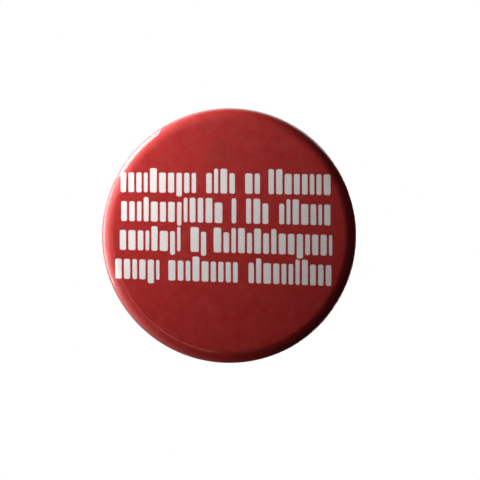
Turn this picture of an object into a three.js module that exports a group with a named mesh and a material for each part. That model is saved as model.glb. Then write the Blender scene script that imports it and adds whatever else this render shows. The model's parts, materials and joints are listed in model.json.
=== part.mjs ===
// An open-backed 2 1/4 inch button badge: a domed tinplate shell under a printed paper disc and a clear
// film, a tinplate ring that grips their edges from behind, and a spring-wire pin held in that ring.
// Millimetres. The origin is the centre of the plane that the back of the rim lies in. The face looks
// along -Y, the wearer is on the +Y side, and +Z is the top of the print.
import * as THREE from "three";

// The outside of the film, which the paper and the shell follow.
const badgeDiameter = 57.15;
const crownRadius = 300; // the gently domed face
const shoulderRadius = 3.4; // from the face round to the side
const skirtHeight = 0.8; // the straight part of the side
const curlRadius = 1.0; // round the back edge

// Sheet thicknesses.
const filmThickness = 0.05;
const paperThickness = 0.1;
const shellThickness = 0.22;
const ringThickness = 0.3;
const layerGap = 0.02; // between one sheet and the next

// How far each sheet runs on, towards the face, once it has turned round the back edge.
const wrapTail = 1.3; // film and paper
const shellLip = 0.8;

// The ring that closes the back.
const gripClearance = 0.08; // between its flange and the film's tail
const ringRecess = 0.25; // its back lies this far inside the rim
const ringCornerRadius = 0.6;
const landWidth = 1.2; // the flat that faces the cloth
const slopeWidth = 2.4;
const slopeDrop = 0.5;
const lipCurlRadius = 0.6;
const lipLength = 0.55; // the straight end of the inner lip
const flareWidth = 0.7; // the flange's edge, spread so that the ring can't pull out
const flareDepth = 0.5;
const flareClearance = 0.15; // between the flare and the film's tail

// The pin wire.
const wireDiameter = 0.9;
const springClearance = 0.2; // between the wire and the ring's flange
const seatClearance = 0.1; // between the wire and the ring's back
const springOpening = THREE.MathUtils.degToRad(45); // the stretch with no wire in the ring
const exitSetback = 1.6; // from its corner on the middle line to where it leaves its circle
const dipSetback = 0.7; // from its gentler corners to where each bend starts
const shankClearance = 0.4; // between the shank and the end of the inner lip
const hingeInset = 1.2; // from the lip to the bend that gives when the pin is opened
const hingeGap = 0.3; // between the fixed and the moving stretch of the wire
const elbowRun = 1.4; // from that bend to the elbow, where the needle starts to rise
const riseRun = 2.0; // from the elbow to the needle's root
const needleY = 0; // the needle's root lies in the rim's plane
const pointInset = 1.3; // from the point to the ring's inner lip
const pointDepth = 1.0; // the point lies this far inside the rim's plane
const pointLength = 5.0; // the sharpened end
const pointTipRadius = 0.06;

// How finely curves are cut.
const turnSegments = 40;
const crownSteps = 2;
const shoulderSteps = 4;
const curlSteps = 4;
const cornerSteps = 3;
const wireSides = 10;
const springSteps = 48;
const bendSteps = 5;

// Sizes worked out from the ones above.
const badgeRadius = badgeDiameter / 2;
const shoulderCentreR = badgeRadius - shoulderRadius;
const shoulderCentreY = -curlRadius - skirtHeight;
const crownAngle = Math.asin(shoulderCentreR / (crownRadius - shoulderRadius));
const crownCentreY = shoulderCentreY + (crownRadius - shoulderRadius) * Math.cos(crownAngle);
const curlCentreR = badgeRadius - curlRadius;
const tailRadius = curlCentreR - curlRadius;
const paperDepth = filmThickness + layerGap;
const shellDepth = paperDepth + paperThickness + layerGap;

const flangeRadius = tailRadius - gripClearance;
const flangeEndY = -curlRadius - wrapTail - flareClearance;
const landOuterR = flangeRadius - ringCornerRadius;
const landInnerR = landOuterR - landWidth;
const lipTopR = landInnerR - slopeWidth;
const lipTopY = -ringRecess - slopeDrop;
const ringInnerR = lipTopR - lipCurlRadius;
const lipEndY = lipTopY - lipCurlRadius - lipLength;

const wireRadius = wireDiameter / 2;
const springR = flangeRadius - ringThickness - springClearance - wireRadius;
const springY = -ringRecess - ringThickness - seatClearance - wireRadius;
const shankY = lipEndY - shankClearance - wireRadius;
const hingeX = hingeInset - ringInnerR;

// Points along an arc in the (r, y) half plane.
function arc(centreR, centreY, radius, from, to, steps) {
  return new THREE.EllipseCurve(centreR, centreY, radius, radius, from, to).getPoints(steps);
}

// The line that every front sheet follows, at a depth under the film's outer surface: from the middle of
// the face, over the shoulder, round the back edge and forward again for the length of its tail.
function wrapLine(depth, tail) {
  const middle = -Math.PI / 2;
  const crownEnd = middle + crownAngle;
  const line = [
    ...arc(0, crownCentreY, crownRadius - depth, middle, crownEnd, crownSteps),
    ...arc(shoulderCentreR, shoulderCentreY, shoulderRadius - depth, crownEnd, 0, shoulderSteps).slice(1),
    ...arc(curlCentreR, -curlRadius, curlRadius - depth, 0, Math.PI, curlSteps),
    new THREE.Vector2(tailRadius + depth, -curlRadius - tail),
  ];
  line[0].x = 0;
  return line;
}

// A sheet that follows the wrap line from one depth to another, turned round the Y axis.
function wrappedSheet(depth, thickness, tail) {
  const outline = [...wrapLine(depth, tail), ...wrapLine(depth + thickness, tail).reverse()];
  return new THREE.LatheGeometry(outline, turnSegments);
}

// The line moved sideways by a distance, with mitred corners.
function offsetLine(line, distance) {
  return line.map((point, i) => {
    const before = line[Math.max(i - 1, 0)];
    const after = line[Math.min(i + 1, line.length - 1)];
    const arriving = (i ? point.clone().sub(before) : after.clone().sub(point)).normalize();
    const leaving = (i < line.length - 1 ? after.clone().sub(point) : arriving.clone()).normalize();
    const side = new THREE.Vector2(-arriving.y - leaving.y, arriving.x + leaving.x).normalize();
    const mitre = side.dot(new THREE.Vector2(-arriving.y, arriving.x));
    return point.clone().addScaledVector(side, distance / mitre);
  });
}

// The back ring: flare, flange, flat land, slope and inner lip, from the outside inwards.
function backRing() {
  const line = [
    new THREE.Vector2(flangeRadius + flareWidth, flangeEndY - flareDepth),
    new THREE.Vector2(flangeRadius, flangeEndY),
    ...arc(landOuterR, -ringRecess - ringCornerRadius, ringCornerRadius, 0, Math.PI / 2, cornerSteps),
    new THREE.Vector2(landInnerR, -ringRecess),
    ...arc(lipTopR, lipTopY - lipCurlRadius, lipCurlRadius, Math.PI / 2, Math.PI, cornerSteps),
    new THREE.Vector2(ringInnerR, lipEndY),
  ];
  const outline = [...line, ...offsetLine(line, ringThickness).reverse(), line[0]];
  return new THREE.LatheGeometry(outline, turnSegments);
}

// A wire's centre line: its points are exactly where the wire is cut.
class Route extends THREE.Curve {
  constructor(points) {
    super();
    this.points = points;
  }
  getSpacedPoints() {
    return this.points;
  }
  getTangentAt(t) {
    const i = Math.round(t * (this.points.length - 1));
    const before = this.points[Math.max(i - 1, 0)];
    const after = this.points[Math.min(i + 1, this.points.length - 1)];
    return after.clone().sub(before).normalize();
  }
}

// Round wire along a line of points.
function wireAlong(points) {
  const section = new THREE.Shape().absarc(0, 0, wireRadius, 0, Math.PI * 2);
  return new THREE.ExtrudeGeometry(section, {
    extrudePath: new Route(points),
    steps: points.length - 1,
    curveSegments: wireSides / 2,
    bevelEnabled: false,
  });
}

// The corner of a bent wire, between the straights from and to that meet at it.
function bend(from, corner, to, setback) {
  const start = corner.clone().add(from.clone().sub(corner).setLength(setback));
  const end = corner.clone().add(to.clone().sub(corner).setLength(setback));
  return new THREE.QuadraticBezierCurve3(start, corner, end).getPoints(bendSteps);
}

// Points along a wire's straight end, at distances from its tip.
function straightEnd(tip, inward, distances) {
  return distances.map((distance) => tip.clone().addScaledVector(inward, distance));
}

// Turns a wire's straight end down to the radius that a formula gives at each distance from its tip.
function turnedEnd(geometry, tip, inward, length, radiusAt) {
  const place = geometry.attributes.position;
  for (let i = 0; i < place.count; i++) {
    const fromTip = new THREE.Vector3().fromBufferAttribute(place, i).sub(tip);
    const distance = fromTip.dot(inward);
    const outward = fromTip.clone().addScaledVector(inward, -distance);
    if (distance < length && outward.length() < wireDiameter) {
      outward.setLength(radiusAt(distance)).addScaledVector(inward, distance).add(tip);
      place.setXYZ(i, outward.x, outward.y, outward.z);
    }
  }
  return geometry;
}

// The ball end of a wire, a distance from its tip, and where it is cut.
const ballRadiusAt = (distance) => Math.sqrt((wireDiameter - distance) * distance);
const ballCuts = [0.05, 0.3, 1].map((part) => part * wireRadius);

// The fixed stretch of the wire: its circle in the ring, and the shank that dips under the inner lip.
function pinSpring() {
  const exitAngle = Math.asin(exitSetback / springR);
  const leave = Math.PI - exitAngle;
  const circle = new THREE.EllipseCurve(0, 0, springR, springR, leave - 2 * Math.PI + springOpening, leave)
    .getPoints(springSteps)
    .map((point) => new THREE.Vector3(point.x, springY, point.y));
  const corner = new THREE.Vector3(-springR / Math.cos(exitAngle), springY, 0);
  const dip = new THREE.Vector3(-lipTopR - wireRadius, shankY, 0);
  const inward = new THREE.Vector3(-1, 0, 0);
  const tip = new THREE.Vector3(hingeX - hingeGap / 2, shankY, 0);
  const route = [
    ...circle,
    ...bend(circle.at(-1), corner, dip, exitSetback).slice(1),
    ...bend(corner, dip, tip, dipSetback),
    ...straightEnd(tip, inward, ballCuts).reverse(),
  ];
  return turnedEnd(wireAlong(route), tip, inward, wireRadius, ballRadiusAt);
}

// The moving stretch: an elbow up from the shank, then the straight, sharpened needle.
function pinNeedle() {
  const inward = new THREE.Vector3(1, 0, 0);
  const start = new THREE.Vector3(hingeX + hingeGap / 2, shankY, 0);
  const elbow = new THREE.Vector3(hingeX + elbowRun, shankY, 0);
  const root = new THREE.Vector3(hingeX + elbowRun + riseRun, needleY, 0);
  const point = new THREE.Vector3(ringInnerR - pointInset, -pointDepth, 0);
  const towardsRoot = root.clone().sub(point).normalize();
  const route = [
    ...straightEnd(start, inward, ballCuts),
    ...bend(start, elbow, root, dipSetback),
    ...bend(elbow, root, point, dipSetback),
    ...straightEnd(point, towardsRoot, [0, pointLength]).reverse(),
  ];
  const needle = turnedEnd(wireAlong(route), start, inward, wireRadius, ballRadiusAt);
  return turnedEnd(needle, point, towardsRoot, wireRadius, () => pointTipRadius);
}

// A named mesh with its finish.
function piece(name, geometry, color, roughness, metalness) {
  const mesh = new THREE.Mesh(geometry, new THREE.MeshStandardMaterial({ color, roughness, metalness }));
  mesh.name = name;
  return mesh;
}

const badge = new THREE.Group();
badge.add(
  piece("clear_film", wrappedSheet(0, filmThickness, wrapTail), "#f4f4f2", 0.08, 0),
  piece("printed_disc", wrappedSheet(paperDepth, paperThickness, wrapTail), "#a92a2c", 0.55, 0),
  piece("front_shell", wrappedSheet(shellDepth, shellThickness, shellLip), "#b9bcc0", 0.3, 1),
  piece("back_ring", backRing(), "#b9bcc0", 0.3, 1),
  piece("pin_spring", pinSpring(), "#a3a6aa", 0.25, 1),
  piece("pin_needle", pinNeedle(), "#a3a6aa", 0.25, 1),
);

export default badge;
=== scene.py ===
"""A 2 1/4 inch button badge: printed paper and clear film wrapped over a tinplate shell, a back ring, and a
spring-wire pin. Metres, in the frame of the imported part: the face looks along -Y and +Z is the top."""

import json
from math import acos, asin, cos, pi, radians, sin, tan

import bpy
from mathutils import Matrix, Vector


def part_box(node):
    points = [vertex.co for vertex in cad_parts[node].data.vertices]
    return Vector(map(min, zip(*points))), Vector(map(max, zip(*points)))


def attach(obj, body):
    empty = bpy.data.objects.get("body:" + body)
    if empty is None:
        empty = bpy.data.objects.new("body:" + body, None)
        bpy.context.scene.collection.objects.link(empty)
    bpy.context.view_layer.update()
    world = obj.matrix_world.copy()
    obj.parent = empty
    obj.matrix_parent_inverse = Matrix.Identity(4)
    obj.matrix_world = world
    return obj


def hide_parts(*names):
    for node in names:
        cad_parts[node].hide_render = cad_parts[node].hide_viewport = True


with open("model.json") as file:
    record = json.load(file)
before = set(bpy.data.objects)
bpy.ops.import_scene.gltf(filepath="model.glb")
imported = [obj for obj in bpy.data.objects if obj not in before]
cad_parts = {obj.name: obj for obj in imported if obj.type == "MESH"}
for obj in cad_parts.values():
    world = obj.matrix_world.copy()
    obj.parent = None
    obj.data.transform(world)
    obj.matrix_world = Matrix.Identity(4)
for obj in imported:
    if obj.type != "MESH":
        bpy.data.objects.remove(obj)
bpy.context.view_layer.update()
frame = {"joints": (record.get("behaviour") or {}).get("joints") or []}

bl_info = {
    "name": "Button badge",
    "version": (1, 0, 0),
    "blender": (4, 5, 0),
    "location": "View3D > Sidebar > Badge",
    "description": "Models a pin-back button badge piece by piece",
    "category": "Object",
}

MM = 0.001
UNIT = {"subtype": "DISTANCE", "unit": "LENGTH"}

# The highest corner of each of three parts, and the hinge.
film_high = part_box("clear_film")[1]
ring_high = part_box("back_ring")[1]
needle_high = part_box("pin_needle")[1]
HINGE = Vector(frame["joints"][0]["pos_m"])


def size(name, default, description):
    """A length that a user can change."""
    return bpy.props.FloatProperty(
        name=name, default=default, min=0, precision=5, description=description, **UNIT
    )


def colour(name, default, description):
    """An sRGB hex colour that a user can change."""
    return bpy.props.StringProperty(name=name, default=default, maxlen=7, description=description)


class BadgeSheets(bpy.types.PropertyGroup):
    """The film, the paper and the shell, which follow one line over the face and round the back edge."""

    radius: size("Radius", film_high.x, "Outside of the film, from the middle")
    rim_y: size("Rim", film_high.y, "Where the back of the rim lies")
    crown_radius: size("Crown radius", 300 * MM, "How gently the face is domed")
    shoulder_radius: size("Shoulder radius", 3.4 * MM, "The bend from the face round to the side")
    skirt_height: size("Skirt", 0.8 * MM, "The straight part of the side")
    curl_radius: size("Curl radius", 1.0 * MM, "The bend round the back edge")
    film: size("Film thickness", 0.05 * MM, "Clear polyester film")
    paper: size("Paper thickness", 0.1 * MM, "Printed paper")
    shell: size("Shell thickness", 0.22 * MM, "Tinplate of the front shell")
    layer_gap: size("Layer gap", 0.02 * MM, "Air between one sheet and the next")
    wrap_tail: size("Wrapped tail", 1.3 * MM, "Film and paper run on this far behind the edge")
    shell_lip: size("Shell lip", 0.8 * MM, "The shell runs on this far behind the edge")


class BadgeRing(bpy.types.PropertyGroup):
    """The tinplate ring that closes the back."""

    thickness: size("Ring thickness", 0.3 * MM, "Tinplate of the ring")
    grip_clearance: size("Grip clearance", 0.08 * MM, "Between the flange and the film's tail")
    corner_radius: size("Corner radius", 0.6 * MM, "From the flange to the land")
    land_width: size("Land width", 1.2 * MM, "The flat that faces the cloth")
    slope_width: size("Slope width", 2.4 * MM, "From the land in to the lip")
    slope_drop: size("Slope drop", 0.5 * MM, "How far the slope falls towards the face")
    lip_radius: size("Lip radius", 0.6 * MM, "The curl at the inner edge")
    lip_length: size("Lip length", 0.55 * MM, "The straight end of the inner lip")
    flare_width: size("Flare width", 0.7 * MM, "The spread edge that keeps the ring in")
    flare_depth: size("Flare depth", 0.5 * MM, "How far the spread edge runs towards the face")
    flare_clearance: size("Flare clearance", 0.15 * MM, "Between the spread edge and the film's tail")


class BadgeWire(bpy.types.PropertyGroup):
    """The pin: one length of spring wire."""

    diameter: size("Wire diameter", 0.9 * MM, "Spring wire")
    spring_clearance: size("Spring clearance", 0.2 * MM, "Between the wire and the ring's flange")
    seat_clearance: size("Seat clearance", 0.1 * MM, "Between the wire and the ring's back")
    exit_setback: size("Exit setback", 1.6 * MM, "From the wire's corner to where it leaves its circle")
    dip_setback: size("Dip setback", 0.7 * MM, "From a gentle corner to where its bend starts")
    elbow_run: size("Elbow run", 1.4 * MM, "From the hinge to the elbow")
    rise_run: size("Rise run", 2.0 * MM, "From the elbow to the needle's root")
    point_depth: size("Point depth", 1.0 * MM, "The point lies this far inside the rim")
    point_length: size("Point length", 5.0 * MM, "The sharpened end")
    tip_radius: size("Tip radius", 0.06 * MM, "The very end of the point")
    opening: bpy.props.FloatProperty(
        name="Opening", default=radians(45), subtype="ANGLE", description="The stretch of ring with no wire"
    )


class BadgeColours(bpy.types.PropertyGroup):
    """Inks, paper and metals, as sRGB hex."""

    ink: colour("Red ink", "#A81D1B", "The printed ground")
    light_ink: colour("Light ink", "#B03733", "Where the ink lies thicker and catches more light")
    dark_ink: colour("Dark ink", "#8A1717", "Fine dark mottle in the ink")
    thin_ink: colour("Thin ink", "#7F1F1F", "Between the paper's fibres")
    stain: colour("Stain", "#7E2A1E", "Old damp marks in the ink")
    paper: colour("Paper", "#EAE4E3", "Where no ink is printed")
    paper_shade: colour("Paper shade", "#CDC2C3", "Between the bare paper's fibres")
    film: colour("Film", "#2B2A28", "The clear film's faint body")
    tin: colour("Tinplate", "#C9CACA", "Bright tin")
    tarnish: colour("Tarnish", "#8F8B84", "Dull tin")
    rust: colour("Rust", "#6B3A20", "Rust specks")
    wire: colour("Wire", "#C4C1BA", "Nickel-plated spring wire")
    floor: colour("Floor", "#F8F8F7", "The studio floor")
    floor_tooth: colour("Floor tooth", "#EAE9E6", "The hollows of the floor's paper")


# ---------------------------------------------------------------- outlines

# How many straight steps stand for each arc.
FACE_STEPS = 18
SHOULDER_STEPS = 16
CURL_STEPS = 16
CORNER_STEPS = 8
LIP_STEPS = 10


def arc(centre, radius, start, end, steps):
    """Points (distance from the axis, y) along an arc."""
    turns = [start + (end - start) * i / steps for i in range(steps + 1)]
    return [(centre[0] + radius * cos(a), centre[1] + radius * sin(a)) for a in turns]


def wrap_line(sheets, depth, tail):
    """The sheets' common line at a depth under the film's outside: face, shoulder, back edge and tail."""
    shoulder = (
        sheets.radius - sheets.shoulder_radius,
        sheets.rim_y - sheets.curl_radius - sheets.skirt_height,
    )
    crown_angle = asin(shoulder[0] / (sheets.crown_radius - sheets.shoulder_radius))
    crown_y = shoulder[1] + (sheets.crown_radius - sheets.shoulder_radius) * cos(crown_angle)
    curl = (sheets.radius - sheets.curl_radius, sheets.rim_y - sheets.curl_radius)
    middle = -pi / 2
    crown_end = middle + crown_angle
    line = arc((0, crown_y), sheets.crown_radius - depth, middle, crown_end, FACE_STEPS)
    line += arc(shoulder, sheets.shoulder_radius - depth, crown_end, 0, SHOULDER_STEPS)[1:]
    line += arc(curl, sheets.curl_radius - depth, 0, pi, CURL_STEPS)
    line.append((curl[0] - sheets.curl_radius + depth, curl[1] - tail))
    return [(0, line[0][1])] + line[1:]


def flange_radius(sheets, ring):
    """How far out the ring's flange lies, inside the wrapped tail of the film."""
    return sheets.radius - 2 * sheets.curl_radius - ring.grip_clearance


def ring_line(sheets, ring):
    """The ring's outer line, from its flare over the land and down the slope to its inner lip."""
    flange = flange_radius(sheets, ring)
    flange_end = sheets.rim_y - sheets.curl_radius - sheets.wrap_tail - ring.flare_clearance
    back = ring_high.y
    corner = (flange - ring.corner_radius, back - ring.corner_radius)
    land_end = corner[0] - ring.land_width
    lip = (land_end - ring.slope_width, back - ring.slope_drop - ring.lip_radius)
    return [
        (flange + ring.flare_width, flange_end - ring.flare_depth),
        (flange, flange_end),
        *arc(corner, ring.corner_radius, 0, pi / 2, CORNER_STEPS),
        (land_end, back),
        *arc(lip, ring.lip_radius, pi / 2, pi, LIP_STEPS),
        (lip[0] - ring.lip_radius, lip[1] - ring.lip_length),
    ]


# ---------------------------------------------------------------- modelling by hand

ROUNDS = 192  # the steps that a sheet is turned in
SHEET_MERGE, WIRE_MERGE = 0.002 * MM, 0.001 * MM  # points closer together than this become one
SHARP_EDGE = radians(35)  # edges that turn further than this stay sharp
WIRE_SIDES = 20
BEND_STEPS = 8
BALL_STEPS = 5
LEAST_STRAIGHT = 0.01 * MM  # a shorter straight before a bend is left out


def begin(name, primitive, **place):
    """Adds a primitive, names it and opens it in edit mode, with nothing else selected."""
    bpy.ops.object.select_all(action="DESELECT")
    primitive(**place)
    piece = bpy.context.object
    piece.name = name
    piece.data.name = name
    bpy.ops.object.mode_set(mode="EDIT")
    return piece


def turned_sheet(name, line, thickness):
    """Draws a line point by point, spins it round the Y axis and gives it a thickness on its inner side."""
    points = [Vector((r, y, 0)) for r, y in line]
    piece = begin(name, bpy.ops.mesh.primitive_plane_add, size=MM)
    bpy.ops.mesh.merge(type="CENTER")
    bpy.ops.transform.translate(value=points[0])
    for before, after in zip(points, points[1:]):
        bpy.ops.mesh.extrude_region_move(TRANSFORM_OT_translate={"value": after - before})
    bpy.ops.mesh.select_all(action="SELECT")
    bpy.ops.mesh.spin(steps=ROUNDS, angle=2 * pi, center=(0, 0, 0), axis=(0, 1, 0))
    bpy.ops.mesh.select_all(action="SELECT")
    bpy.ops.mesh.remove_doubles(threshold=SHEET_MERGE)
    bpy.ops.mesh.normals_make_consistent(inside=False)
    bpy.ops.object.mode_set(mode="OBJECT")
    wall = piece.modifiers.new("Wall", "SOLIDIFY")
    wall.thickness = thickness
    wall.offset = -1
    wall.use_even_offset = True
    bpy.ops.object.modifier_apply(modifier=wall.name)
    return piece


def finished(piece, material, body, node):
    """Smooths a piece, gives it its material and sets it in the frame."""
    bpy.ops.object.transform_apply(location=True, rotation=True, scale=True)
    bpy.ops.object.shade_smooth_by_angle(angle=SHARP_EDGE)
    piece.data.materials.clear()
    piece.data.materials.append(material)
    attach(piece, body)
    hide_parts(node)


class Bender:
    """Wire drawn on from a selected end face, straight or round a bend, as a bending jig does it."""

    def __init__(self, name, place, heading, radius):
        self.place = Vector(place)
        self.heading = Vector(heading).normalized()
        self.radius = radius
        turn = self.heading.to_track_quat("Z", "Y").to_euler()
        self.piece = begin(
            name,
            bpy.ops.mesh.primitive_circle_add,
            vertices=WIRE_SIDES,
            radius=radius,
            fill_type="NGON",
            location=self.place,
            rotation=turn,
        )

    def straight(self, length, radius=None):
        """Draws the wire straight on, and to another radius if one is given."""
        step = self.heading * length
        bpy.ops.mesh.extrude_region_move(TRANSFORM_OT_translate={"value": step})
        self.place += step
        if radius is not None:
            share = radius / self.radius
            bpy.ops.transform.resize(value=(share, share, share), center_override=self.place)
            self.radius = radius

    def bend(self, centre, axis, angle, steps):
        """Draws the wire round an axis through a centre, anticlockwise to an eye that the axis points at."""
        # A spin counts its angle clockwise.
        bpy.ops.mesh.spin(steps=steps, angle=-angle, center=centre, axis=axis)
        turn = Vector(axis).normalized()
        arm = self.place - centre
        along = self.heading
        lift = turn * turn.dot(arm)
        self.place = centre + lift + (arm - lift) * cos(angle) + turn.cross(arm) * sin(angle)
        self.heading = along * cos(angle) + turn.cross(along) * sin(angle)

    def corner(self, at, towards, setback):
        """Draws the wire up to a corner and round it, towards a point."""
        ahead = (towards - at).normalized()
        angle = acos(max(-1.0, min(1.0, self.heading.dot(ahead))))
        axis = self.heading.cross(ahead).normalized()
        to_bend = (at - self.place).dot(self.heading) - setback
        if to_bend > LEAST_STRAIGHT:
            self.straight(to_bend)
        inward = axis.cross(self.heading).normalized()
        self.bend(self.place + inward * setback / tan(angle / 2), axis, angle, BEND_STEPS)

    def ball(self, radius):
        """Closes the wire with half a ball round its end."""
        for i in range(1, BALL_STEPS + 1):
            turn = pi / 2 * i / (BALL_STEPS + 0.5)
            reach = radius * (sin(turn) - sin(pi / 2 * (i - 1) / (BALL_STEPS + 0.5)))
            self.straight(reach, radius * cos(turn))

    def done(self):
        """Closes the mesh with its faces pointing out."""
        bpy.ops.mesh.select_all(action="SELECT")
        bpy.ops.mesh.remove_doubles(threshold=WIRE_MERGE)
        bpy.ops.mesh.normals_make_consistent(inside=False)
        bpy.ops.object.mode_set(mode="OBJECT")
        return self.piece


# ---------------------------------------------------------------- materials


def linear(hex_colour):
    """An sRGB hex colour as linear RGBA."""
    parts = [int(hex_colour[i : i + 2], 16) / 255 for i in (1, 3, 5)]
    return [c / 12.92 if c <= 0.04045 else ((c + 0.055) / 1.055) ** 2.4 for c in parts] + [1]


def add(tree, kind, *values, sockets=None, **settings):
    """Adds a node with its settings and links, and gives it back. Values fill the sockets that the settings
    leave in use, in order, and sockets fills others by name. A value is a number, a vector, a colour, or a
    node or output to link. The numbers of a MapRange are from low, from high, to low and to high."""
    made = tree.nodes.new("ShaderNode" + kind)
    for key, value in settings.items():
        setattr(made, key, value)
    in_use = [socket for socket in made.inputs if socket.enabled]
    named = [(made.inputs[name], value) for name, value in (sockets or {}).items()]
    for socket, value in [*zip(in_use, values), *named]:
        if isinstance(value, bpy.types.Node):
            value = next(output for output in value.outputs if output.enabled)
        if isinstance(value, bpy.types.NodeSocket):
            tree.links.new(value, socket)
        else:
            socket.default_value = value
    return made


def started(name):
    """A new material, its empty tree, and where a point lies on the piece."""
    material = bpy.data.materials.new(name)
    material.use_nodes = True
    tree = material.node_tree
    tree.nodes.clear()
    return material, tree, add(tree, "TexCoord").outputs["Object"]


def round_axis(tree, place):
    """Coordinates that change with the distance from the axis and the depth, and not round the piece."""
    flat = add(tree, "VectorMath", place, (1, 0, 1), operation="MULTIPLY")
    out = add(tree, "VectorMath", flat, operation="LENGTH")
    depth = add(tree, "SeparateXYZ", place).outputs["Y"]
    return add(tree, "CombineXYZ", out, depth)


NEEDLE_STRETCH = 0.03  # how slowly a pattern changes along the needle


def along_axis(tree, place):
    """Coordinates that change slowly along X, as the needle runs."""
    return add(tree, "Mapping", place, sockets={"Scale": (NEEDLE_STRETCH, 1, 1)})


PLEATS = 150  # round the rim
PLEATS_START, PLEATS_FULL = -0.8 * MM, -0.35 * MM  # they deepen over this part of the curl


def gathers(tree, place):
    """Fine pleats that run out from the middle on the back of the rim, where flat sheet is gathered into a
    curl: 0 on the face and the side."""
    axes = add(tree, "SeparateXYZ", place)
    turn = add(tree, "Math", axes.outputs["Z"], axes.outputs["X"], operation="ARCTAN2")
    sine = add(tree, "Math", turn, operation="SINE")
    cosine = add(tree, "Math", turn, operation="COSINE")
    circle = add(tree, "CombineXYZ", sine, cosine)
    pleats = add(tree, "TexNoise", circle, PLEATS / (2 * pi), 3.0, 0.55)
    behind = add(tree, "MapRange", axes.outputs["Y"], PLEATS_START, PLEATS_FULL)
    return add(tree, "Math", pleats, behind, operation="MULTIPLY")


# The print, in millimetres: rows of plain rounded blocks that stand for a slogan.
ROW_PITCH = 6.56
ROW_COUNT = 4
TOP_OF_ROWS = 14.95  # above the middle
ROW_FALL, FALL_CHANGE = 0.0244, -0.00105  # the rows' fall to the right at the middle, and its change upwards
ROW_MIDDLE, ROW_HALF = -1.2, 23.9
FACE_LIMIT = 28.0  # a block in the top row whose upper corner lies further out than this is left out
END_RUN = 4.5  # the blocks this near a row's ends are short, and never left out
BLOCK_PITCH = 1.75  # the mean width of a block and its gap
BLOCK_GAP = 0.52
BLOCK_CORNER = 0.38
UNEVENNESS = 0.75  # how far the widths differ, where 0 is not at all
SHORT_BLOCK, TALL_BLOCK = 4.5, 5.5
TAIL = 0.8  # how far a block with a tail runs down
FOOT_GAP = 0.9  # from a row's lower limit to its blocks
EDGE_SOFTNESS = 0.05
RAGGEDNESS, RAGGED_SIZE = 0.12, 0.5
ROW_SEED = 21.9  # keeps one row's blocks from being another's
TALL_SHARE, TAIL_SHARE, GAP_SHARE = 0.35, 0.14, 0.14
PRINT_DEPTH = -2.0  # the print lies in front of this


def ragged(tree, place):
    """A point's place in millimetres, shifted a little, so that an edge drawn with it comes out ragged."""
    wobble = add(tree, "TexNoise", place, 1 / (RAGGED_SIZE * MM), 2.0).outputs["Color"]
    shift = add(tree, "VectorMath", wobble, (0.5, 0.5, 0.5), operation="SUBTRACT")
    spread = add(tree, "VectorMath", shift, RAGGEDNESS, operation="SCALE")
    return add(tree, "VectorMath", place, (1 / MM,) * 3, spread, operation="MULTIPLY_ADD")


def row_at(tree, across, up):
    """The row that a point lies in, counted down from 0, and its height over the feet of that row."""
    fall = add(tree, "Math", up, FALL_CHANGE, ROW_FALL, operation="MULTIPLY_ADD")
    level = add(tree, "Math", across, fall, up, operation="MULTIPLY_ADD")
    below_top = add(tree, "Math", TOP_OF_ROWS, level, operation="SUBTRACT")
    down = add(tree, "Math", below_top, ROW_PITCH, operation="DIVIDE")
    row = add(tree, "Math", down, operation="FLOOR")
    part = add(tree, "Math", down, operation="FRACT")
    height = add(tree, "Math", part, -ROW_PITCH, ROW_PITCH - FOOT_GAP, operation="MULTIPLY_ADD")
    return row, height


def block_at(tree, row, across):
    """The block that a point of a row lies in: how far the point is from the block's edge, where the block's
    middle is, and two numbers picked for it."""
    start = add(tree, "Math", row, ROW_SEED, ROW_SEED, operation="MULTIPLY_ADD")
    run = add(tree, "Math", across, 1 / BLOCK_PITCH, start, operation="MULTIPLY_ADD")
    uneven = {"Randomness": UNEVENNESS}
    edge = add(
        tree, "TexVoronoi", run, 1.0, sockets=uneven, voronoi_dimensions="1D", feature="DISTANCE_TO_EDGE"
    )
    cell = add(tree, "TexVoronoi", run, 1.0, sockets=uneven, voronoi_dimensions="1D")
    from_start = add(tree, "Math", cell.outputs["W"], start, operation="SUBTRACT")
    middle = add(tree, "Math", from_start, BLOCK_PITCH, operation="MULTIPLY")
    picks = add(tree, "SeparateXYZ", cell.outputs["Color"])
    return edge, middle, picks.outputs["X"], picks.outputs["Y"]


def rounded_block(tree, edge, height, tall, tail):
    """1 inside a rounded block and 0 outside it, from a point's distance to its side and its height."""
    half = add(tree, "MapRange", tall, 0.0, 1.0, SHORT_BLOCK / 2, TALL_BLOCK / 2)
    half = add(tree, "Math", tail, 0.5, half, operation="MULTIPLY_ADD")
    over_foot = add(tree, "Math", height, tail, operation="ADD")
    from_half = add(tree, "Math", over_foot, half, operation="SUBTRACT")
    from_half = add(tree, "Math", from_half, operation="ABSOLUTE")
    past_end = add(tree, "Math", from_half, half, operation="SUBTRACT")
    end = add(tree, "Math", past_end, BLOCK_CORNER, operation="ADD")
    end = add(tree, "Math", end, 0.0, operation="MAXIMUM")
    side = add(tree, "Math", edge, -BLOCK_PITCH, BLOCK_GAP / 2 + BLOCK_CORNER, operation="MULTIPLY_ADD")
    side = add(tree, "Math", side, 0.0, operation="MAXIMUM")
    corner = add(tree, "CombineXYZ", side, end)
    reach = add(tree, "VectorMath", corner, operation="LENGTH")
    return add(tree, "MapRange", reach, BLOCK_CORNER + EDGE_SOFTNESS, BLOCK_CORNER - EDGE_SOFTNESS)


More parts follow.
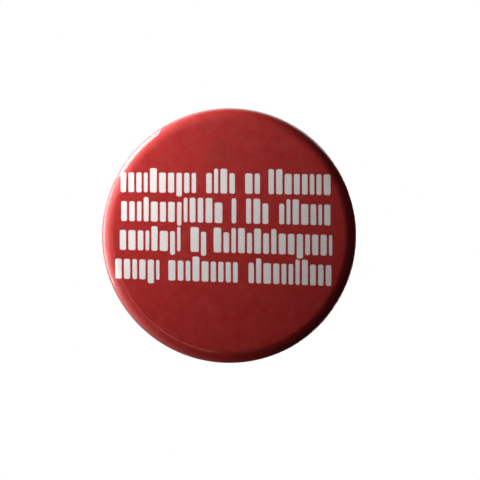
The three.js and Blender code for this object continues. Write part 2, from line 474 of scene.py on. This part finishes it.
def blocks_mask(tree, place):
    """1 where the rows of blocks leave the paper bare, and 0 on the ink. A block's width, its height and
    whether it is left out as a gap between words are picked at random, from a fixed seed."""
    axes = add(tree, "SeparateXYZ", ragged(tree, place))
    across = axes.outputs["X"]
    row, height = row_at(tree, across, axes.outputs["Z"])
    edge, middle, shape_pick, gap_pick = block_at(tree, row, across)

    from_middle = add(tree, "Math", middle, ROW_MIDDLE, operation="SUBTRACT")
    from_middle = add(tree, "Math", from_middle, operation="ABSOLUTE")
    in_row = add(tree, "Math", from_middle, ROW_HALF, operation="LESS_THAN")
    at_end = add(tree, "Math", from_middle, ROW_HALF - END_RUN, operation="GREATER_THAN")
    from_mid_row = add(tree, "Math", row, (ROW_COUNT - 1) / 2, operation="SUBTRACT")
    from_mid_row = add(tree, "Math", from_mid_row, operation="ABSOLUTE")
    in_rows = add(tree, "Math", from_mid_row, ROW_COUNT / 2, operation="LESS_THAN")
    row_top = add(tree, "Math", row, -ROW_PITCH, TOP_OF_ROWS, operation="MULTIPLY_ADD")
    upper_corner = add(tree, "CombineXYZ", middle, row_top)
    from_centre = add(tree, "VectorMath", upper_corner, operation="LENGTH")
    on_face = add(tree, "Math", from_centre, FACE_LIMIT, operation="LESS_THAN")
    in_front = add(tree, "Math", axes.outputs["Y"], PRINT_DEPTH, operation="LESS_THAN")

    gap_kept = add(tree, "Math", gap_pick, GAP_SHARE, operation="GREATER_THAN")
    shown = add(tree, "Math", at_end, gap_kept, operation="MAXIMUM")
    tall_pick = add(tree, "Math", shape_pick, at_end, operation="ADD")
    tall = add(tree, "Math", tall_pick, TALL_SHARE, operation="LESS_THAN")
    tail_pick = add(tree, "Math", shape_pick, at_end, operation="SUBTRACT")
    with_tail = add(tree, "Math", tail_pick, 1 - TAIL_SHARE, operation="GREATER_THAN")
    tail = add(tree, "Math", with_tail, TAIL, operation="MULTIPLY")

    mask = rounded_block(tree, edge, height, tall, tail)
    for gate in (shown, in_row, in_rows, on_face, in_front):
        mask = add(tree, "Math", mask, gate, operation="MULTIPLY")
    return mask


DAMP_MARK = (-2.4 * MM, -5.9 * MM, 18.2 * MM)
DAMP_INNER, DAMP_OUTER, DAMP_RAGGED = 3.0 * MM, 5.2 * MM, 3.5 * MM
DAMP_WAVER_SIZE = 1.6 * MM


def damp_mark(tree, place, strength):
    """How strong the old damp mark near the top is at a point."""
    away = add(tree, "VectorMath", place, DAMP_MARK, operation="DISTANCE")
    waver = add(tree, "TexNoise", place, 1 / DAMP_WAVER_SIZE, 4.0)
    edge = add(tree, "Math", waver, DAMP_RAGGED, away, operation="MULTIPLY_ADD")
    return add(tree, "MapRange", edge, DAMP_INNER, DAMP_OUTER, strength, 0.0)


FIBRE_SIZE = 0.25 * MM  # paper fibre is about 0.02 mm across, and is drawn larger so that it shows
MOTTLE_SIZE, FINE_MOTTLE_SIZE = 2.4 * MM, 0.9 * MM
WAVE_SIZE = 7.0 * MM  # the film's slow waves
DAMP_STRENGTH = 0.34
PRINT_RELIEF = 0.03 * MM
PLEAT_HEIGHT, FIBRE_HEIGHT = 6.0, 0.03  # where 1 stands for PRINT_RELIEF


def offset_printed_paper(colours):
    """Offset print on coated paper, pressed flat under film. The ink lies solid but a little mottled, with
    an old damp mark near the top and soft, slightly ragged edges where it meets the bare paper. The film
    that is pressed on it shows as a clear coat."""
    material, tree, place = started("offset_printed_paper")
    fibre = add(tree, "TexNoise", place, 1 / FIBRE_SIZE, 3.0)
    mottle = add(tree, "TexNoise", place, 1 / MOTTLE_SIZE, 6.0, 0.6)
    fine_mottle = add(tree, "TexNoise", place, 1 / FINE_MOTTLE_SIZE, 4.0)

    light_share = add(tree, "MapRange", mottle, 0.35, 0.7, 0.0, 0.55)
    dark_share = add(tree, "MapRange", fine_mottle, 0.4, 0.75, 0.0, 0.5)
    thin_share = add(tree, "MapRange", fibre, 0.35, 0.7, 0.0, 0.24)
    ink = add(tree, "Mix", light_share, linear(colours.ink), linear(colours.light_ink), data_type="RGBA")
    ink = add(tree, "Mix", dark_share, ink, linear(colours.dark_ink), data_type="RGBA")
    ink = add(tree, "Mix", thin_share, ink, linear(colours.thin_ink), data_type="RGBA")
    damp = damp_mark(tree, place, DAMP_STRENGTH)
    ink = add(tree, "Mix", damp, ink, linear(colours.stain), data_type="RGBA")
    grey_share = add(tree, "MapRange", fibre, 0.3, 0.75, 0.0, 0.35)
    bare = add(tree, "Mix", grey_share, linear(colours.paper), linear(colours.paper_shade), data_type="RGBA")

    pleats = add(tree, "Math", gathers(tree, place), PLEAT_HEIGHT, operation="MULTIPLY")
    paper_relief = add(tree, "Math", fibre, FIBRE_HEIGHT, pleats, operation="MULTIPLY_ADD")
    waves = add(tree, "TexNoise", place, 1 / WAVE_SIZE, 1.0)
    film_relief = add(tree, "Math", waves, pleats, operation="ADD")
    shader = add(
        tree,
        "BsdfPrincipled",
        sockets={
            "Base Color": add(tree, "Mix", blocks_mask(tree, place), ink, bare, data_type="RGBA"),
            "Roughness": add(tree, "MapRange", fibre, 0.2, 0.8, 0.42, 0.6),
            "Specular IOR Level": 0.15,
            "Normal": add(tree, "Bump", sockets={"Height": paper_relief, "Distance": PRINT_RELIEF}),
            "Coat Weight": 1.0,
            "Coat Roughness": 0.03,
            "Coat IOR": 1.55,
            "Coat Normal": add(tree, "Bump", sockets={"Height": film_relief, "Distance": PRINT_RELIEF}),
        },
    )
    add(tree, "OutputMaterial", shader)
    return material


FILM_RELIEF = 0.12 * MM
RUB_SIZE, RUB_HEIGHT = 0.12 * MM, 0.05  # where a height of 1 stands for FILM_RELIEF
RUB_SLANT, RUB_STRETCH = 0.5, 0.05  # the rubs run slanted, and change this slowly along their length


def clear_polyester_film(colours):
    """Cast polyester film, pulled tight. It is nearly invisible on the face, with hairline rubs that break
    up its gloss, and small pleats where it is gathered round the back edge."""
    material, tree, place = started("clear_polyester_film")
    slant = {"Rotation": (0, RUB_SLANT, 0), "Scale": (RUB_STRETCH, 1, 1)}
    slanted = add(tree, "Mapping", place, sockets=slant)
    rubs = add(tree, "TexNoise", slanted, 1 / RUB_SIZE, 2.0)
    relief = add(tree, "Math", rubs, RUB_HEIGHT, gathers(tree, place), operation="MULTIPLY_ADD")
    shader = add(
        tree,
        "BsdfPrincipled",
        sockets={
            "Base Color": linear(colours.film),
            "Roughness": add(tree, "MapRange", rubs, 0.35, 0.75, 0.03, 0.14),
            "IOR": 1.57,
            "Alpha": 0.06,
            "Normal": add(tree, "Bump", sockets={"Height": relief, "Distance": FILM_RELIEF}),
        },
    )
    add(tree, "OutputMaterial", shader)
    return material


def worn_tin(tree, colours, marks, dull, specks, *, marks_share, gloss, relief):
    """Tin on steel: tool marks and dull patches in the tin, and rust specks where it has worn through. gloss
    is its roughness where it is bright and where it is dull."""
    dull_share = add(tree, "MapRange", dull, 0.4, 0.7, 0.0, 0.55)
    marks_shown = add(tree, "MapRange", marks, 0.3, 0.7, 0.0, marks_share)
    speck = add(tree, "MapRange", specks, 0.67, 0.74)
    worn_through = add(tree, "MapRange", dull, 0.5, 0.64)
    rust = add(tree, "Math", speck, worn_through, operation="MULTIPLY")
    tin = add(tree, "Mix", dull_share, linear(colours.tin), linear(colours.tarnish), data_type="RGBA")
    tin = add(tree, "Mix", marks_shown, tin, linear(colours.tarnish), data_type="RGBA")
    roughness = add(tree, "MapRange", dull, 0.3, 0.7, *gloss)
    shader = add(
        tree,
        "BsdfPrincipled",
        sockets={
            "Base Color": add(tree, "Mix", rust, tin, linear(colours.rust), data_type="RGBA"),
            "Metallic": add(tree, "MapRange", rust, 0.0, 1.0, 1.0, 0.1),
            "Roughness": add(tree, "Math", rust, 0.38, roughness, operation="MULTIPLY_ADD"),
            "Normal": add(tree, "Bump", sockets={"Height": marks, "Distance": relief}),
        },
    )
    add(tree, "OutputMaterial", shader)


# Rolling lines are a few hundredths of a millimetre apart, and are drawn further apart so that they show.
ROLLING_LINES, ROLLING_STRETCH = 0.15 * MM, 0.02
PLATE_DULL, PLATE_SPECKS = 9.0 * MM, 0.8 * MM


def rolled_tinplate(colours):
    """Electrolytic tinplate, rolled and pressed. Fine rolling lines run across it, and dull patches and a
    few rust specks show where the tin has worn."""
    material, tree, place = started("rolled_tinplate")
    stretched = add(tree, "Mapping", place, sockets={"Scale": (ROLLING_STRETCH, 1, 1)})
    lines = add(tree, "TexNoise", stretched, 1 / ROLLING_LINES, 3.0)
    dull = add(tree, "TexNoise", place, 1 / PLATE_DULL, 6.0, 0.65)
    specks = add(tree, "TexNoise", place, 1 / PLATE_SPECKS, 5.0, 0.7)
    worn_tin(tree, colours, lines, dull, specks, marks_share=0.45, gloss=(0.27, 0.36), relief=0.004 * MM)
    return material


DIE_MARKS = 0.1 * MM  # drawn a few times coarser than they are, so that they show
RING_DULL, RING_SPECKS = 5.0 * MM, 0.7 * MM


def drawn_tinplate(colours):
    """The same tinplate drawn into a ring. The die leaves fine circular marks, and handling leaves
    dull patches and a few rust specks."""
    material, tree, place = started("drawn_tinplate")
    rings = add(tree, "TexNoise", round_axis(tree, place), 1 / DIE_MARKS, 2.0)
    dull = add(tree, "TexNoise", place, 1 / RING_DULL, 6.0, 0.65)
    specks = add(tree, "TexNoise", place, 1 / RING_SPECKS, 5.0, 0.7)
    worn_tin(tree, colours, rings, dull, specks, marks_share=0.3, gloss=(0.2, 0.33), relief=0.005 * MM)
    return material


DRAW_LINES = 0.08 * MM  # a few hundredths of a millimetre on real wire, and wider here so that they show
CLOUD_SIZE = 1.5 * MM
WIRE_RELIEF = 0.004 * MM


def nickel_plated_wire(name, colours, along):
    """Hard-drawn steel wire under thin nickel. The draw lines run along it, which stretches its highlight,
    and the plating is a little yellow and clouded by handling."""
    material, tree, place = started(name)
    lines = add(tree, "TexNoise", along(tree, place), 1 / DRAW_LINES, 2.0)
    cloud = add(tree, "TexNoise", place, 1 / CLOUD_SIZE, 4.0)
    clouded = add(tree, "MapRange", cloud, 0.35, 0.7, 0.0, 0.5)
    lined = add(tree, "MapRange", lines, 0.3, 0.7, 0.0, 0.3)
    metal = add(tree, "Mix", clouded, linear(colours.wire), linear(colours.tarnish), data_type="RGBA")
    shader = add(
        tree,
        "BsdfPrincipled",
        sockets={
            "Base Color": add(tree, "Mix", lined, metal, linear(colours.tarnish), data_type="RGBA"),
            "Metallic": 1.0,
            "Roughness": add(tree, "MapRange", cloud, 0.3, 0.7, 0.16, 0.34),
            "Normal": add(tree, "Bump", sockets={"Height": lines, "Distance": WIRE_RELIEF}),
        },
    )
    add(tree, "OutputMaterial", shader)
    return material


TOOTH_SIZE = 1.2 * MM
TOOTH_RELIEF = 0.02 * MM


def seamless_paper(colours):
    """Matt studio paper: pale, with a faint tooth. It gives off most of its own light, so that it stays as
    pale behind the badge as in front of it."""
    material, tree, place = started("seamless_paper")
    tooth = add(tree, "TexNoise", place, 1 / TOOTH_SIZE, 4.0)
    shaded = add(tree, "MapRange", tooth, 0.3, 0.7, 0.0, 0.06)
    pale = add(tree, "Mix", shaded, linear(colours.floor), linear(colours.floor_tooth), data_type="RGBA")
    shader = add(
        tree,
        "BsdfPrincipled",
        sockets={
            "Base Color": pale,
            "Roughness": 0.85,
            "Emission Color": pale,
            "Emission Strength": 0.97,
            "Normal": add(tree, "Bump", sockets={"Height": tooth, "Distance": TOOTH_RELIEF}),
        },
    )
    add(tree, "OutputMaterial", shader)
    return material


# ---------------------------------------------------------------- pieces

WORN_EDGE = 0.05 * MM  # how wide the ring's worn edges are
WORN_TURN = radians(60)  # edges that turn further than this are worn
CIRCLE_STEPS = 150
BALL_MARGIN = 0.02 * MM  # how much larger than the wire the ball at the hinge is
POINT_STEPS = 8
POINT_FULLNESS = 1.3  # 1 is a straight cone


class BADGE_OT_clear_film(bpy.types.Operator):
    """Stretches the clear film over the face and gathers it behind the edge"""

    bl_idname = "badge.clear_film"
    bl_label = "Clear film"

    def execute(self, context):
        sheets = context.scene.badge_sheets
        film = turned_sheet("film_cover", wrap_line(sheets, 0, sheets.wrap_tail), sheets.film)
        material = clear_polyester_film(context.scene.badge_colours)
        finished(film, material, "badge", "clear_film")
        return {"FINISHED"}


class BADGE_OT_printed_disc(bpy.types.Operator):
    """Lays the printed paper under the film"""

    bl_idname = "badge.printed_disc"
    bl_label = "Printed disc"

    def execute(self, context):
        sheets = context.scene.badge_sheets
        depth = sheets.film + sheets.layer_gap
        paper = turned_sheet("print_disc", wrap_line(sheets, depth, sheets.wrap_tail), sheets.paper)
        material = offset_printed_paper(context.scene.badge_colours)
        finished(paper, material, "badge", "printed_disc")
        return {"FINISHED"}


class BADGE_OT_front_shell(bpy.types.Operator):
    """Presses the tinplate shell under the paper"""

    bl_idname = "badge.front_shell"
    bl_label = "Front shell"

    def execute(self, context):
        sheets = context.scene.badge_sheets
        depth = sheets.film + sheets.paper + 2 * sheets.layer_gap
        shell = turned_sheet("tin_shell", wrap_line(sheets, depth, sheets.shell_lip), sheets.shell)
        material = rolled_tinplate(context.scene.badge_colours)
        finished(shell, material, "badge", "front_shell")
        return {"FINISHED"}


class BADGE_OT_back_ring(bpy.types.Operator):
    """Draws the tinplate ring that grips the edges from behind"""

    bl_idname = "badge.back_ring"
    bl_label = "Back ring"

    def execute(self, context):
        scene = context.scene
        line = ring_line(scene.badge_sheets, scene.badge_ring)
        ring = turned_sheet("tin_ring", line, scene.badge_ring.thickness)
        edge = ring.modifiers.new("Worn edges", "BEVEL")
        edge.width = WORN_EDGE
        edge.segments = 2
        edge.limit_method = "ANGLE"
        edge.angle_limit = WORN_TURN
        bpy.ops.object.modifier_apply(modifier=edge.name)
        material = drawn_tinplate(scene.badge_colours)
        finished(ring, material, "badge", "back_ring")
        return {"FINISHED"}


class BADGE_OT_pin_spring(bpy.types.Operator):
    """Bends the pin's circle in the ring, and its shank under the inner lip as far as the hinge"""

    bl_idname = "badge.pin_spring"
    bl_label = "Pin spring"

    def execute(self, context):
        scene = context.scene
        sheets, ring, wire = scene.badge_sheets, scene.badge_ring, scene.badge_wire
        radius = wire.diameter / 2
        flange = flange_radius(sheets, ring)
        lip_top = flange - ring.corner_radius - ring.land_width - ring.slope_width
        circle = flange - ring.thickness - wire.spring_clearance - radius
        level = ring_high.y - ring.thickness - wire.seat_clearance - radius
        leave = pi - asin(wire.exit_setback / circle)
        start = leave - 2 * pi + wire.opening
        wire_end = (circle * cos(start), level, circle * sin(start))
        pin = Bender("pin_circle", wire_end, (-sin(start), 0, cos(start)), radius)
        pin.bend(Vector((0, level, 0)), Vector((0, -1, 0)), leave - start, CIRCLE_STEPS)
        corner = Vector((circle / cos(leave), level, 0))
        dip = Vector((-lip_top - radius, HINGE.y, 0))
        pin.corner(corner, dip, wire.exit_setback)
        pin.corner(dip, HINGE, wire.dip_setback)
        pin.straight((HINGE - pin.place).length)
        pin.ball(radius + BALL_MARGIN)
        material = nickel_plated_wire("nickel_plated_wire_coiled", scene.badge_colours, round_axis)
        finished(pin.done(), material, "badge", "pin_spring")
        return {"FINISHED"}


class BADGE_OT_pin_needle(bpy.types.Operator):
    """Bends the elbow and draws the needle out to its sharpened point"""

    bl_idname = "badge.pin_needle"
    bl_label = "Pin needle"

    def execute(self, context):
        scene = context.scene
        wire = scene.badge_wire
        radius = wire.diameter / 2
        elbow = HINGE + Vector((wire.elbow_run, 0, 0))
        root = Vector((elbow.x + wire.rise_run, needle_high.y - radius, 0))
        point = Vector((needle_high.x, film_high.y - wire.point_depth, 0))
        pin = Bender("pin_point", HINGE, (1, 0, 0), radius)
        pin.corner(elbow, root, wire.dip_setback)
        pin.corner(root, point, wire.dip_setback)
        pin.straight((point - pin.place).length - wire.point_length)
        for i in range(1, POINT_STEPS + 1):
            thinning = (wire.tip_radius - radius) * (i / POINT_STEPS) ** POINT_FULLNESS
            pin.straight(wire.point_length / POINT_STEPS, radius + thinning)
        material = nickel_plated_wire("nickel_plated_wire_straight", scene.badge_colours, along_axis)
        finished(pin.done(), material, "needle", "pin_needle")
        return {"FINISHED"}


# ---------------------------------------------------------------- stage

LENS = 135
SENSOR_WIDTH = 36
CLIP_START = 0.01
FRAME_WIDTH = 107.9 * MM  # how wide the camera sees at the face
AIM = Vector((2.34 * MM, 0, -1.0 * MM))
FLOOR_MIDDLE = (0, -1.41, -0.07)
FLOOR_SIZE = (6, 3, 1)

ROOM = 0.012  # the dim light from everywhere, where lit white paper is 1
GLOW = 3.5  # the middle of the diffuser
GLOW_ON_MATT = 1.0  # the same for matt surfaces, which the key light does more for
GLOW_ACROSS, GLOW_POLAR = 168, 105
GLOW_FALLOFF = 6.5
GLOW_FADE = (0.55, 0.85)  # it fades where the Y of a direction lies between these
GLOW_LEFT = 0.12  # the share of it that is left past them
VEIL = 0.4  # a faint light over the camera, which hazes the upper face
VEIL_ACROSS, VEIL_POLAR = 118, 38
VEIL_FALLOFF = 14.0


def heading(across, polar):
    """A direction from the badge, in the same angles as the lights."""
    side, tilt = radians(across), radians(polar)
    return Vector((sin(tilt) * cos(side), -cos(tilt), sin(tilt) * sin(side)))


def soft_light(name, across, polar, *, size, brightness, distance=0.3, glossy=True):
    """An area light that faces the badge. across turns from +X towards +Z, polar is measured from the
    camera's side, and size is how wide and high it looks from the badge, all in degrees. At brightness 1 it
    looks as bright as lit white paper. A light that isn't glossy lights matt surfaces and has no
    reflection."""
    side, tilt = radians(across), radians(polar)
    outward = heading(across, polar)
    upright = Vector((cos(tilt) * cos(side), sin(tilt), cos(tilt) * sin(side)))
    bpy.ops.object.light_add(type="AREA", location=outward * distance)
    light = bpy.context.object
    light.name = name
    light.rotation_euler = Matrix((upright.cross(outward), upright, outward)).transposed().to_euler()
    light.data.shape = "RECTANGLE"
    light.data.size = 2 * distance * tan(radians(size[0] / 2))
    light.data.size_y = 2 * distance * tan(radians(size[1] / 2))
    light.data.energy = brightness * pi * light.data.size * light.data.size_y
    light.visible_camera = False
    light.visible_glossy = glossy


def studio_air():
    """White behind everything for the eye. For the surfaces it is a dim room with one broad soft glow, as
    from a large diffuser beside the badge."""
    world = bpy.data.worlds.new("studio_air")
    world.use_nodes = True
    tree = world.node_tree
    tree.nodes.clear()
    towards = add(tree, "TexCoord").outputs["Generated"]
    path = add(tree, "LightPath").outputs
    behind = add(tree, "SeparateXYZ", towards).outputs["Y"]

    beside = add(tree, "VectorMath", towards, heading(GLOW_ACROSS, GLOW_POLAR), operation="DOT_PRODUCT")
    beside = add(tree, "Math", beside, 0.5, 0.5, operation="MULTIPLY_ADD")
    glow = add(tree, "Math", beside, GLOW_FALLOFF, operation="POWER")
    faded = add(tree, "MapRange", behind, *GLOW_FADE, 1.0, GLOW_LEFT)
    glow = add(tree, "Math", glow, faded, operation="MULTIPLY")
    share = add(tree, "MapRange", path["Is Diffuse Ray"], 0.0, 1.0, GLOW, GLOW_ON_MATT)

    above = add(tree, "VectorMath", towards, heading(VEIL_ACROSS, VEIL_POLAR), operation="DOT_PRODUCT")
    above = add(tree, "Math", above, 0.5, 0.5, operation="MULTIPLY_ADD")
    veil = add(tree, "Math", above, VEIL_FALLOFF, operation="POWER")

    room = add(tree, "Math", glow, share, ROOM, operation="MULTIPLY_ADD")
    room = add(tree, "Math", veil, VEIL, room, operation="MULTIPLY_ADD")
    level = add(tree, "Mix", path["Is Camera Ray"], room, 1.0, data_type="FLOAT")
    air = add(tree, "Background", (1, 1, 1, 1), level)
    add(tree, "OutputWorld", air)
    bpy.context.scene.world = world


class BADGE_OT_stage(bpy.types.Operator):
    """Sets the floor, the lights and the camera"""

    bl_idname = "badge.stage"
    bl_label = "Stage"

    def execute(self, context):
        scene = context.scene
        bpy.ops.object.select_all(action="DESELECT")
        bpy.ops.mesh.primitive_plane_add(size=1, location=FLOOR_MIDDLE)
        floor = context.object
        floor.name = "studio_floor"
        floor.scale = FLOOR_SIZE
        bpy.ops.object.transform_apply(location=True, rotation=True, scale=True)
        floor.data.materials.append(seamless_paper(scene.badge_colours))
        floor.visible_diffuse = False
        floor.visible_glossy = False
        floor.visible_shadow = False

        studio_air()
        soft_light("key_light", 145, 68, size=(18, 18), brightness=60.0, distance=0.115, glossy=False)
        soft_light("low_left_fill", 201, 89, size=(34, 34), brightness=6.8, glossy=False)
        soft_light("streak_card", 138, 106, size=(26, 42), brightness=9.0)
        soft_light("left_rim_card", 180, 117, size=(42, 22), brightness=3.2)
        soft_light("low_left_strip", 221, 31, size=(50, 5), brightness=1.3)
        soft_light("right_edge_card", 352, 150, size=(40, 30), brightness=3.0)
        soft_light("right_side_fill", 0, 148, size=(44, 34), brightness=9.0, glossy=False)
        soft_light("back_card", 80, 150, size=(70, 60), brightness=1.0, distance=0.5)

        bpy.ops.object.camera_add()
        camera = context.object
        camera.name = "front_camera"
        camera.data.lens = LENS
        camera.data.sensor_width = SENSOR_WIDTH
        distance = FRAME_WIDTH / 2 / tan(camera.data.angle / 2)
        camera.location = AIM + Vector((0, -distance, 0))
        camera.rotation_euler = (pi / 2, 0, 0)
        camera.data.clip_start = CLIP_START
        scene.camera = camera
        scene.view_settings.view_transform = "Standard"
        return {"FINISHED"}


OPERATORS = (
    BADGE_OT_front_shell,
    BADGE_OT_printed_disc,
    BADGE_OT_clear_film,
    BADGE_OT_back_ring,
    BADGE_OT_pin_spring,
    BADGE_OT_pin_needle,
    BADGE_OT_stage,
)


class BADGE_PT_panel(bpy.types.Panel):
    """Lists the badge's pieces and their sizes"""

    bl_label = "Button badge"
    bl_idname = "BADGE_PT_panel"
    bl_space_type = "VIEW_3D"
    bl_region_type = "UI"
    bl_category = "Badge"

    def draw(self, context):
        for operator in OPERATORS:
            self.layout.operator(operator.bl_idname)
        for name, group in GROUPS.items():
            for key in group.__annotations__:
                self.layout.prop(getattr(context.scene, name), key)


GROUPS = {
    "badge_sheets": BadgeSheets,
    "badge_ring": BadgeRing,
    "badge_wire": BadgeWire,
    "badge_colours": BadgeColours,
}


def register():
    for item in (*GROUPS.values(), *OPERATORS, BADGE_PT_panel):
        bpy.utils.register_class(item)
    for name, group in GROUPS.items():
        setattr(bpy.types.Scene, name, bpy.props.PointerProperty(type=group))


def unregister():
    for name in GROUPS:
        delattr(bpy.types.Scene, name)
    for item in (BADGE_PT_panel, *reversed(OPERATORS), *reversed(GROUPS.values())):
        bpy.utils.unregister_class(item)


def main():
    register()
    bpy.ops.badge.front_shell()
    bpy.ops.badge.printed_disc()
    bpy.ops.badge.clear_film()
    bpy.ops.badge.back_ring()
    bpy.ops.badge.pin_spring()
    bpy.ops.badge.pin_needle()
    bpy.ops.badge.stage()


if __name__ == "__main__":
    main()
